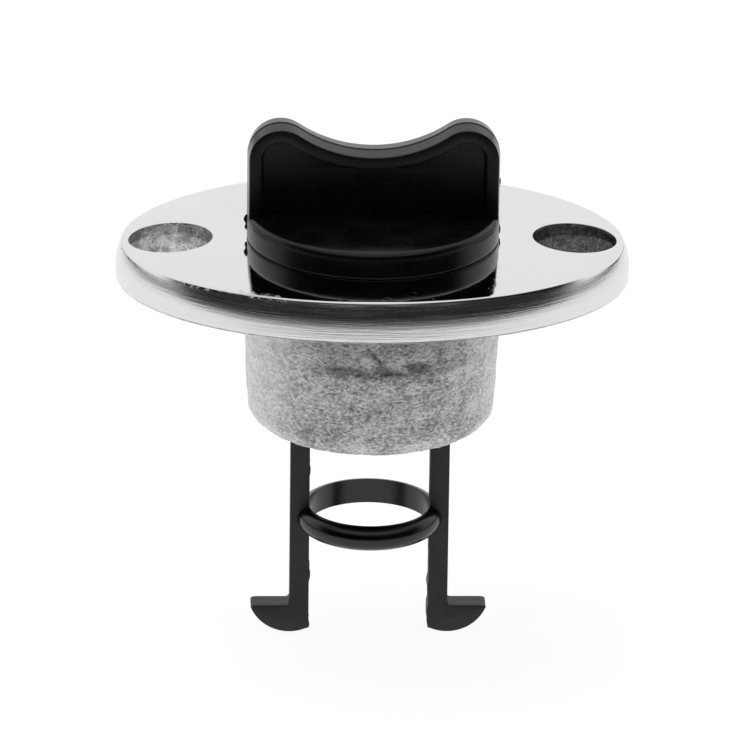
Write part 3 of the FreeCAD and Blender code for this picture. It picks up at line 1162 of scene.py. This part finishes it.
    def hole_rows(self, side: Side) -> np.ndarray:
        """Rows of one countersunk hole, from the top face to the underside."""
        x = self.screw_x * side.value
        floor = float(self.face(np.array([x, 0.0]))) - self.recess_depth
        foot = floor + self.recess_foot
        rows = []
        for fall, reach in quarter(EASE_STEPS):
            plan = circle_ring(self.recess_radius + self.recess_ease * (1 - reach), self.screw_columns, x)
            rows.append(np.column_stack([plan, self.face(plan) - self.recess_ease * fall]))
        brim = rows[-1]
        for share in self.brim_shares:
            rows.append(np.column_stack([brim[:, :2], brim[:, 2] * (1 - share) + foot * share]))
        cone_foot = floor - (self.recess_radius - self.hole_radius)
        lower = profile([
            Corner(self.recess_radius, foot, run=0.5),
            Corner(self.recess_radius, floor, ease=0.06, run=0.25),
            Corner(self.hole_radius, cone_foot, ease=0.12, run=0.4),
            Corner(self.hole_radius, 0.0, self.hole_ease),
            Corner(self.hole_radius + self.hole_ease, 0.0),
        ])
        drilled = turned(lower, self.screw_columns)
        drilled[:, :, 0] += x
        return np.concatenate([np.array(rows), drilled])

    def seat_rows(self) -> np.ndarray:
        """Rows from the edge of the flat middle inwards and down the gland's wall."""
        points = profile([
            Corner(self.flat_radius, self.face_top, run=0.6),
            Corner(self.gland_radius + self.mouth_ease, self.face_top, ease=0.12, run=0.3),
            Corner(self.gland_radius, self.face_top - self.mouth_ease, ease=0.12, run=0.6),
            Corner(self.gland_radius, 0.0),
        ])
        return turned(points, self.seat_columns)

    def build_flange(self) -> bpy.types.Object:
        """Meshes the flange as one closed plate with its three openings."""
        shell = Shell()
        side = self.side_rows()
        openings = [self.seat_rows(), *(self.hole_rows(which) for which in Side)]
        for rows in (side, *openings):
            shell.add_rows(rows)
        mouths = [rows[0][:, :2] for rows in openings]
        feet = [rows[-1][:, :2] for rows in openings]
        pitch = self.sheet_spacing
        shell.add_faces(*plate(side[-1][:, :2], mouths, pitch, self.face))
        shell.add_faces(*plate(side[0][:, :2], feet, 2 * pitch, lambda flat: np.zeros(len(flat))))
        return shell.make("socket_flange")

    def build_barrel(self) -> bpy.types.Object:
        """Meshes the barrel as one closed tube with its plain bore."""
        bore = self.thread.bore_radius
        crest = self.thread.bore_crest
        low = -self.barrel_length
        lip = low + self.lip_height
        corners = [
            Corner(self.sleeve_radius, self.gland_floor, run=1.0),
            Corner(bore, self.gland_floor, ease=0.12, run=1.8),
            Corner(bore, lip + bore - crest, ease=0.2, run=0.5),
            Corner(crest, lip, ease=0.2, run=0.8),
            Corner(crest, low, self.lip_ease, run=0.5),
            Corner(self.barrel_end, low, self.barrel_round, self.skin_step),
            Corner(self.barrel_root, 0.0, run=1.0),
            Corner(self.barrel_root, self.barrel_bury, run=1.0),
            Corner(self.sleeve_radius, self.barrel_bury, run=4.0),
        ]
        points = profile(corners, closed=True, ease_steps=self.barrel_ease_steps)
        rows = turned(points, self.barrel_columns)
        for nick in self.nicks:
            rows = nick.cut(rows, bore + self.skin_wall)
        return Shell().add_rows(rows, wrap=True).make("socket_barrel")

    def flange_cast(self, points: np.ndarray) -> np.ndarray:
        """How much each point of the flange is as cast: only its underside."""
        return 1 - step_up(points[:, 2], *self.cast_range)

    def flange_brushed(self, points: np.ndarray) -> np.ndarray:
        """How much each point of the flange is brushed: its side wall, below the top edge."""
        size = np.array([self.half_length - self.wall_lean, self.half_width - self.wall_lean])
        outside = step_up(np.hypot(*(points[:, :2] / size).T), *self.outside_range)
        return outside * step_up(self.face(points) - points[:, 2], *self.brushed_range)

    def flange_bare(self, points: np.ndarray) -> np.ndarray:
        """How much each point of the flange is bare: the walls of the screw holes."""
        away = np.hypot(np.abs(points[:, 0]) - self.screw_x, points[:, 1])
        sunk = step_up(self.face(points) - points[:, 2], *self.sunk_range)
        walls = sunk * (1 - step_up(away, self.recess_radius, self.recess_radius + self.bare_fade))
        return walls * (1 - self.flange_cast(points))

    def flange_worn(self, points: np.ndarray) -> np.ndarray:
        """How dinged each point of the flange is: a stretch of its front edge and its left tip."""
        x, y, z = points.T
        edge = self.oval(self.wall_lean * float(self.edge_share().mean()) ** 2)
        reach = np.hypot(x / edge[:, 0].max(), y / edge[:, 1].max())
        near = 1 - step_up(np.abs(reach - self.worn_reach), *self.worn_range)
        stretch = step_up(x, *self.worn_start) * (1 - step_up(x, *self.worn_end))
        tip = self.tip_share * (1 - step_up(x, *self.tip_end)) * step_up(z, *self.tip_range)
        return np.maximum(near * stretch * (y < 0), tip)

    def barrel_cast(self, points: np.ndarray) -> np.ndarray:
        """How rough each point of the barrel is: its outside is as cast, its bore is machined."""
        radius = np.hypot(points[:, 0], points[:, 1])
        outside = step_up(radius, *(self.thread.bore_radius + wall for wall in self.rough_range))
        return np.where(points[:, 2] < self.machined_top, outside, 0.0)

    def wind_bore(self, threads: Tree, surface: bpy.types.Material) -> bpy.types.Object:
        """Winds the thread of the bore, which fills the gaps of the shank's."""
        thread = self.thread
        pitch = thread.lead / thread.starts
        gap = thread.root_width - thread.flank * thread.radial_clearance
        tip_width = pitch - gap - 2 * thread.axial_clearance
        foot = thread.bore_radius + thread.bite
        rise = foot - thread.bore_crest
        widths = (tip_width + thread.flank * rise, tip_width)
        heights = self.ridge_heights
        return thread.wind("bore_thread", threads, foot, -rise, widths, heights, pitch / 2, surface)

    def build(self, skin: Tree, threads: Tree) -> None:
        """Builds and dresses the socket's pieces.

        Args:
            skin: Tree for the cast skin.
            threads: Tree for the bore's thread.
        """
        surface = self.finish.make()
        flange = self.build_flange()
        mark(flange, CAST, self.flange_cast)
        mark(flange, BRUSHED, self.flange_brushed)
        mark(flange, BARE, self.flange_bare)
        mark(flange, WORN, self.flange_worn)
        self.flange_skin.grow(flange, skin, surface)
        barrel = self.build_barrel()
        mark(barrel, CAST, self.barrel_cast)
        self.barrel_skin.grow(barrel, skin, surface)
        for piece in (flange, barrel, self.wind_bore(threads, surface)):
            install(piece, Body.SOCKET, Node.SOCKET, Slot.STEEL)


@dataclass(frozen=True)
class Burr:
    """Ragged bit of moulding flash on the bung's side, in its parting plane.

    Args:
        side: Which side it is on.
        low: Height of its lower end.
        high: Height of its upper end.
        reach: How far it sticks out.
    """

    side: Side
    low: float
    high: float
    reach: float


@dataclass(frozen=True)
class Lump:
    """Low swelling on the inner edge of a leg.

    Args:
        side: Which leg it is on.
        height: Height of its middle.
        half_length: Distance at which it has nearly faded out.
        swell: How far it sticks out.
    """

    side: Side
    height: float
    half_length: float
    swell: float


@dataclass
class Bung:
    """Moulded bung: handle, head, threaded shank, legs with hooks and the brace ring."""

    head_radius: float = 18.4
    head_low: float = 6.1
    head_top: float = 10.1
    head_top_ease: float = 0.95
    head_bottom_ease: float = 0.4
    handle_height: float = 13.5
    saddle_drop: float = 4.15
    lobe_radius: float = 4.9
    half_thickness: float = 3.0
    draft_inset: float = 0.3
    rim_width: float = 1.8
    half_web: float = 1.1
    web_draft: float = 0.15
    rim_ease: float = 0.22
    lip_share: float = 0.7
    web_lead: float = 0.02
    rim_start: float = 0.35
    rim_levels: int = 7
    side_steps: int = 16
    lobe_steps: int = 32
    saddle_steps: int = 36
    line_depth: float = 0.24
    line_half_width: float = 0.36
    burr_half_width: float = 0.12
    burr_root: float = 0.05
    burr_steps: int = 25
    burr_level: float = 0.66
    burr_waves: tuple[Triple, ...] = ((0.24, 2.1, 0.6), (0.10, 5.3, 0.0))
    burrs: tuple[Burr, ...] = (
        Burr(Side.LEFT, 7.0, 9.4, 0.75),
        Burr(Side.RIGHT, 6.4, 8.4, 0.40),
        Burr(Side.RIGHT, 13.6, 15.2, 0.28),
    )
    lumps: tuple[Lump, ...] = (
        Lump(Side.LEFT, -46.9, 0.9, 0.20),
        Lump(Side.LEFT, -30.2, 0.7, 0.12),
        Lump(Side.LEFT, -55.4, 1.0, 0.14),
        Lump(Side.RIGHT, -49.3, 0.9, 0.18),
        Lump(Side.RIGHT, -53.6, 1.6, 0.20),
        Lump(Side.RIGHT, -41.9, 0.8, 0.12),
    )
    bury: float = 0.6
    shank_low: float = -14.5
    shank_ease: float = 0.6
    ridge_heights: Pair = (-13.2, 2.4)
    hollow_radius: float = 9.05
    hollow_top: float = 3.3
    leg_outer: float = 11.75
    leg_half_depth: float = 1.875
    leg_ease: float = 0.14
    hook_top: float = -52.0
    hook_reach: float = 5.75
    hook_height: float = 4.2
    hook_land: float = 0.3
    hook_round: float = 0.6
    hook_nose: float = 0.9
    inner_steps: int = 120
    outer_steps: int = 40
    hook_steps: int = 28
    nose_steps: int = 6
    land_steps: int = 8
    corner_steps: int = 5
    leg_levels: int = 5
    leg_flat: float = 1.0
    leg_ease_steps: int = 3
    ring_height: float = 3.8
    ring_bulge: float = 1.8
    ring_centre: float = -38.0
    ring_levels: int = 9
    ring_bow_steps: int = 19
    round_columns: int = 288
    ring_columns: int = 192
    handle_crease: float = 50.0
    leg_crease: float = 40.0
    burr_crease: float = 40.0
    ring_crease: float = 45.0
    thread: ThreadFit = field(default_factory=ThreadFit)
    finish: NylonFinish = NylonFinish()

    def outline(self, inset: float, base: float) -> np.ndarray:
        """Outline of the handle in its own plane.

        Args:
            inset: How far it is moved inwards.
            base: Height of its lower end.

        Returns:
            (x, z) points in order, the same number for every inset.
        """
        lobe_x = self.head_radius - self.lobe_radius
        lobe_z = self.head_top + self.handle_height - self.lobe_radius
        rise = self.lobe_radius - self.saddle_drop
        saddle_radius = (lobe_x ** 2 + rise ** 2 - self.lobe_radius ** 2) / (2 * self.saddle_drop)
        saddle_z = lobe_z + rise + saddle_radius
        lean = math.atan2(lobe_x, saddle_z - lobe_z)
        radius = self.lobe_radius - inset
        reach = saddle_radius + inset
        half = [(self.head_radius - inset, height) for height in np.linspace(base, lobe_z, self.side_steps)]
        for turn in np.linspace(0, math.pi / 2 + lean, self.lobe_steps)[1:]:
            half.append((lobe_x + radius * math.cos(turn), lobe_z + radius * math.sin(turn)))
        for turn in np.linspace(lean, 0, self.saddle_steps)[1:]:
            half.append((reach * math.sin(turn), saddle_z - reach * math.cos(turn)))
        right = np.array(half)
        return np.concatenate([right, right[:-1][::-1] * np.array([-1, 1])])

    def handle_sections(self) -> list[Pair]:
        """(y, inset) of each section on one half of the handle, from the parting line to the web."""
        face = self.half_thickness
        ease = self.rim_ease
        inset = self.draft_inset
        rim = inset + self.rim_width
        floor = rim + self.web_draft
        web = self.half_web
        slope = inset / face
        line = self.line_half_width
        lip = ease * self.lip_share
        rounds = quarter(EASE_STEPS)
        sections = [(0.0, self.line_depth), (line / 2, self.line_depth), (line, slope * line)]
        sections += [(y, slope * y) for y in np.linspace(self.rim_start, face - ease, self.rim_levels)]
        for fall, reach in rounds[1:]:
            sections.append((face - ease * (1 - reach), slope * (face - ease) + ease * fall))
        sections.append((face, (inset + rim) / 2))
        sections += [(face - lip * fall, rim - lip * (1 - reach)) for fall, reach in rounds]
        sections.append((web + ease, floor - self.web_lead))
        sections += [(web + ease * (1 - reach), floor + ease * fall) for fall, reach in rounds[1:]]
        return sections

    def build_handle(self) -> bpy.types.Object:
        """Meshes the handle with its raised rim and the recessed web on both faces."""
        base = self.head_top - self.bury
        half = self.handle_sections()
        rows = []
        for y, inset in [(-y, inset) for y, inset in half[::-1]] + half[1:]:
            outline = self.outline(inset, base)
            rows.append(np.insert(outline, 1, y, axis=1))
        return Shell().add_rows(np.array(rows), capped=True).make("bung_handle", self.handle_crease)

    def build_head(self) -> bpy.types.Object:
        """Meshes the head and the hollow shank as one turned shape."""
        root = self.thread.root_radius
        points = profile([
            Corner(0.0, self.head_top, run=2.5),
            Corner(self.head_radius, self.head_top, self.head_top_ease, run=0.6),
            Corner(self.head_radius, self.head_low, self.head_bottom_ease, run=1.0),
            Corner(root, self.head_low, ease=0.15, run=1.5),
            Corner(root, self.shank_low, self.shank_ease, run=1.0),
            Corner(self.hollow_radius, self.shank_low, ease=0.12, run=2.0),
            Corner(self.hollow_radius, self.hollow_top, ease=0.5, run=3.0),
            Corner(0.0, self.hollow_top),
        ])
        return Shell().add_rows(turned(points, self.round_columns)).make("bung_head")

    def inner_edge(self, side: Side, height: float) -> float:
        """Distance of a leg's inner edge from the axis at a height, with its swellings."""
        swell = 0.0
        for lump in self.lumps:
            if lump.side is side:
                swell += lump.swell * math.exp(-((height - lump.height) / lump.half_length) ** 4)
        return self.hollow_radius - swell

    def leg_outline(self, side: Side) -> np.ndarray:
        """Outline of one leg and its hook, drawn as for the right side, anticlockwise in the XZ plane."""
        outer = self.leg_outer
        drop = self.hook_height - self.hook_land
        land = self.hook_top - self.hook_land
        radius = (self.hook_reach ** 2 + drop ** 2) / (2 * drop)
        centre_z = land - drop + radius
        start = math.atan2(land - centre_z, self.hook_reach)
        end = -math.pi / 2 - math.asin((outer - self.hollow_radius) / radius)
        top = self.shank_low + 2 * self.bury
        foot = centre_z + radius * math.sin(end)
        inner = np.linspace(top, foot, self.inner_steps)[:-1]
        points = [(self.inner_edge(side, z), z) for z in inner]
        for turn in np.linspace(end, start, self.hook_steps):
            points.append((outer + radius * math.cos(turn), centre_z + radius * math.sin(turn)))
        nose = np.array([outer + self.hook_reach, self.hook_top])
        nose_end = nose - np.array([self.hook_nose, 0])
        points += map(tuple, bend(np.array([nose[0], land]), nose, nose_end, self.nose_steps)[1:])
        flat = np.linspace(nose_end[0], outer + self.hook_round, self.land_steps)[1:]
        points += [(x, self.hook_top) for x in flat]
        corner = np.array([outer, self.hook_top])
        round_start = corner + np.array([self.hook_round, 0])
        round_end = corner + np.array([0, self.hook_round])
        points += map(tuple, bend(round_start, corner, round_end, self.corner_steps)[1:])
        points += [(outer, z) for z in np.linspace(round_end[1], top, self.outer_steps)[1:]]
        return np.array(points)

    def leg_rows(self, side: Side) -> np.ndarray:
        """Rows of one leg with its hook, from its front face to its back face."""
        outline = self.leg_outline(side)
        run = np.roll(outline, -1, axis=0) - outline
        length = np.maximum(np.linalg.norm(run, axis=1), TINY)
        after = np.column_stack([run[:, 1], -run[:, 0]]) / length[:, None]
        before = np.roll(after, 1, axis=0)
        square = np.maximum(1 + np.sum(before * after, axis=1), MITRE_LIMIT)
        outward = (before + after) / square[:, None]
        hollow = self.hollow_radius
        inner = outline[:, 0] < hollow + SAME_PLACE
        ease = self.leg_ease
        rounds = quarter(self.leg_ease_steps)
        front = [(ease * fall - self.leg_half_depth, ease * (1 - reach)) for fall, reach in rounds]
        middle = [(y, 0.0) for y in np.linspace(-self.leg_flat, self.leg_flat, self.leg_levels)]
        back = [(-y, inset) for y, inset in front[::-1]]
        rows = []
        for y, inset in front + middle + back:
            ring = outline - outward * inset
            curved = ring[:, 0] - hollow + math.sqrt(hollow ** 2 - y * y)
            x = np.where(inner, curved, ring[:, 0]) * side.value
            rows.append(np.column_stack([x, np.full(len(x), y), ring[:, 1]]))
        return np.array(rows)

    def build_legs(self) -> bpy.types.Object:
        """Meshes both legs with their outward hooks."""
        shell = Shell()
        for side in Side:
            shell.add_rows(self.leg_rows(side), capped=True)
        return shell.make("bung_legs", self.leg_crease)

    def build_burrs(self) -> bpy.types.Object:
        """Meshes the ragged flash at both sides of the head."""
        shell = Shell()
        for burr in self.burrs:
            heights = np.linspace(burr.low, burr.high, self.burr_steps)
            waves = [swing * np.sin(rate * heights + shift) for swing, rate, shift in self.burr_waves]
            ragged = self.burr_level + sum(waves)
            ends = np.sqrt(np.sin(np.linspace(0.0, math.pi, self.burr_steps)).clip(0.0))
            outer = self.head_radius - self.burr_root + burr.reach * ragged * ends
            inner = np.full(self.burr_steps, self.head_radius - self.bury)
            x = np.concatenate([outer, inner]) * burr.side.value
            flat = np.column_stack([x, np.concatenate([heights, heights[::-1]])])
            rows = [np.insert(flat, 1, y, axis=1) for y in (-self.burr_half_width, self.burr_half_width)]
            shell.add_rows(np.array(rows), capped=True)
        return shell.make("bung_flash", self.burr_crease)

    def build_ring(self) -> bpy.types.Object:
        """Meshes the half-round brace ring."""
        half = self.ring_height / 2
        bow = (half ** 2 + self.ring_bulge ** 2) / (2 * self.ring_bulge)
        centre = self.hollow_radius + self.ring_bulge - bow
        reach = math.asin(half / bow)
        levels = np.linspace(self.ring_centre - half, self.ring_centre + half, self.ring_levels)
        points = [(self.hollow_radius, z) for z in levels]
        for turn in np.linspace(reach, -reach, self.ring_bow_steps)[1:-1]:
            points.append((centre + bow * math.cos(turn), self.ring_centre + bow * math.sin(turn)))
        rows = turned(np.array(points), self.ring_columns)
        return Shell().add_rows(rows, wrap=True).make("bung_ring", self.ring_crease)

    def build(self, threads: Tree) -> None:
        """Builds and dresses the bung's pieces.

        Args:
            threads: Tree for the shank's thread.
        """
        surface = self.finish.make()
        thread = self.thread
        foot = thread.root_radius - thread.bite
        rise = thread.depth + thread.bite
        widths = (thread.root_width + thread.flank * thread.bite, thread.crest_width)
        ridges = thread.wind("shank_thread", threads, foot, rise, widths, self.ridge_heights, 0.0, surface)
        builders = (self.build_handle, self.build_head, self.build_legs, self.build_ring, self.build_burrs)
        pieces = [build() for build in builders]
        for piece in pieces:
            piece.data.materials.append(surface)
        for piece in [*pieces, ridges]:
            install(piece, Body.BUNG, Node.BUNG, Slot.NYLON)


@dataclass
class Seal:
    """Rubber ring under the head, whose solid already has its shape."""

    finish: RubberFinish = RubberFinish()

    def dress(self) -> None:
        """Gives the solid its rubber."""
        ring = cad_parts[Node.SEAL.value]
        ring.data.materials.clear()
        ring.data.materials.append(self.finish.make())
        LOG.info("%s: %d faces", ring.name, len(ring.data.polygons))


@dataclass(frozen=True)
class Softbox:
    """Square soft light that points at the part and doesn't show in shiny surfaces.

    Args:
        name: Name of the light.
        where: Its place in millimetres.
        size: Its side in millimetres.
        power: Its power in watts.
    """

    name: str
    where: Triple
    size: float
    power: float

    def hang(self) -> None:
        """Adds the light."""
        data = bpy.data.lights.new(self.name, "AREA")
        data.shape = "SQUARE"
        data.size = self.size * MM
        data.energy = self.power
        light = link(self.name, data)
        light.location = Vector(self.where) * MM
        light.visible_glossy = False
        light.rotation_euler = (-Vector(self.where)).to_track_quat("-Z", "Y").to_euler()


@dataclass
class Studio:
    """White sweep, soft light and the camera."""

    camera_place: Triple = (-32.6, -933.7, 356.7)
    camera_aim: Triple = (0.60, 0.0, -15.8)
    camera_lens: float = 328.3
    camera_roll: float = 0.78
    sensor_width: float = 36.0
    clip_range: Pair = (0.01, 10.0)
    floor_height: float = -56.25
    floor_half: float = 1500.0
    floor_level: float = 0.85
    floor_roughness: float = 0.9
    floor_glow: float = 0.92
    floor_unlit: float = 0.10
    lit_range: Pair = (-228.0 * MM, -150.0 * MM)
    fill_level: float = 0.62
    room_level: float = 0.012
    room_lean: float = 0.55
    room_fade: float = 0.38
    room_top: Pair = (0.60, 0.85)
    strip_low: Pair = (-0.05, 0.03)
    strip_high: Pair = (0.08, 0.22)
    strip_sides: Pair = (0.30, 0.55)
    strip_share: float = 0.85
    lights: tuple[Softbox, ...] = (
        Softbox("top_light", (-120.0, 120.0, 700.0), 500.0, 6.0),
        Softbox("left_light", (-650.0, -250.0, 380.0), 300.0, 2.0),
        Softbox("right_light", (650.0, -250.0, 380.0), 300.0, 2.0),
    )

    def set_camera(self) -> None:
        """Makes the camera at the photograph's viewing angle."""
        data = bpy.data.cameras.new("camera")
        data.lens = self.camera_lens
        data.sensor_width = self.sensor_width
        data.clip_start, data.clip_end = self.clip_range
        camera = link("camera", data)
        camera.location = Vector(self.camera_place) * MM
        aim = (Vector(self.camera_aim) - Vector(self.camera_place)).normalized()
        turn = aim.to_track_quat("-Z", "Y").to_euler()
        turn.rotate_axis("Z", math.radians(self.camera_roll))
        camera.rotation_euler = turn
        bpy.context.scene.camera = camera

    def lay_floor(self) -> None:
        """Makes the white floor that the hooks stand on; it is clear from below."""
        half = self.floor_half
        plan = ((-half, -half), (half, -half), (half, half), (-half, half))
        mesh = bpy.data.meshes.new("floor")
        mesh.from_pydata([(x * MM, y * MM, self.floor_height * MM) for x, y in plan], [], [(0, 1, 2, 3)])
        material = bpy.data.materials.new("floor_white")
        material.use_nodes = True
        nodes = material.node_tree.nodes
        bench = Bench(material.node_tree)
        shader = nodes["Principled BSDF"]
        bench.feed(shader.inputs["Base Color"], grey(self.floor_level))
        bench.feed(shader.inputs["Roughness"], self.floor_roughness)
        mirrored = bench.ray("Glossy")
        seen = bench.math("ADD", bench.ray("Camera") + mirrored, bench.ray("Transmission"), clamp=True)
        deep = bench.node("ShaderNodeTexCoord", output="Object").axis("Y")
        lit = deep.span(*self.lit_range, self.floor_unlit, 1.0)
        glow = bench.node("ShaderNodeEmission", {"Strength": bench.blend(mirrored, 1.0, lit)})
        above = {0: seen * self.floor_glow, 1: Wire(bench, shader.outputs[0]), 2: glow}
        back = bench.node("ShaderNodeNewGeometry", output="Backfacing")
        clear = bench.node("ShaderNodeBsdfTransparent")
        both = {0: back, 1: bench.node("ShaderNodeMixShader", above), 2: clear}
        bench.feed(nodes["Material Output"].inputs["Surface"], bench.node("ShaderNodeMixShader", both))
        mesh.materials.append(material)
        link("floor", mesh)

    def set_world(self) -> None:
        """Makes the white surroundings, with the dark room behind the camera in the reflections."""
        world = bpy.data.worlds.new("studio")
        bpy.context.scene.world = world
        world.use_nodes = True
        bench = Bench(world.node_tree)
        background = world.node_tree.nodes["Background"]
        way = bench.node("ShaderNodeTexCoord", output="Generated")
        height = way.axis("Z")
        front = (height * self.room_lean - way.axis("Y")).span(0.0, self.room_fade)
        strip = height.span(*self.strip_low) * height.span(*self.strip_high, 1.0, 0.0)
        strip = strip * abs(way.axis("X")).span(*self.strip_sides) * self.strip_share
        dark = (front * height.span(*self.room_top, 1.0, 0.0)).most(strip)
        mirrored = bench.tint(dark, grey(1.0), grey(self.room_level))
        plain = bench.tint(bench.ray("Glossy"), grey(self.fill_level), mirrored)
        seen = bench.math("ADD", bench.ray("Camera"), bench.ray("Transmission"), clamp=True)
        bench.feed(background.inputs["Color"], bench.tint(seen, plain, grey(1.0)))
        bench.feed(background.inputs["Strength"], 1.0)

    def build(self) -> None:
        """Sets up the whole studio."""
        bpy.context.scene.view_settings.view_transform = "Standard"
        self.set_camera()
        self.lay_floor()
        self.set_world()
        for light in self.lights:
            light.hang()


def main() -> None:
    """Builds the studio and every sub-assembly in order."""
    logging.basicConfig(level=logging.INFO, format="%(name)s %(message)s")
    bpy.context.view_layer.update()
    Studio().build()
    threads = thread_ridge_tree()
    Socket().build(mould_skin_tree(), threads)
    Bung().build(threads)
    Seal().dress()


if __name__ == "__main__":
    main()
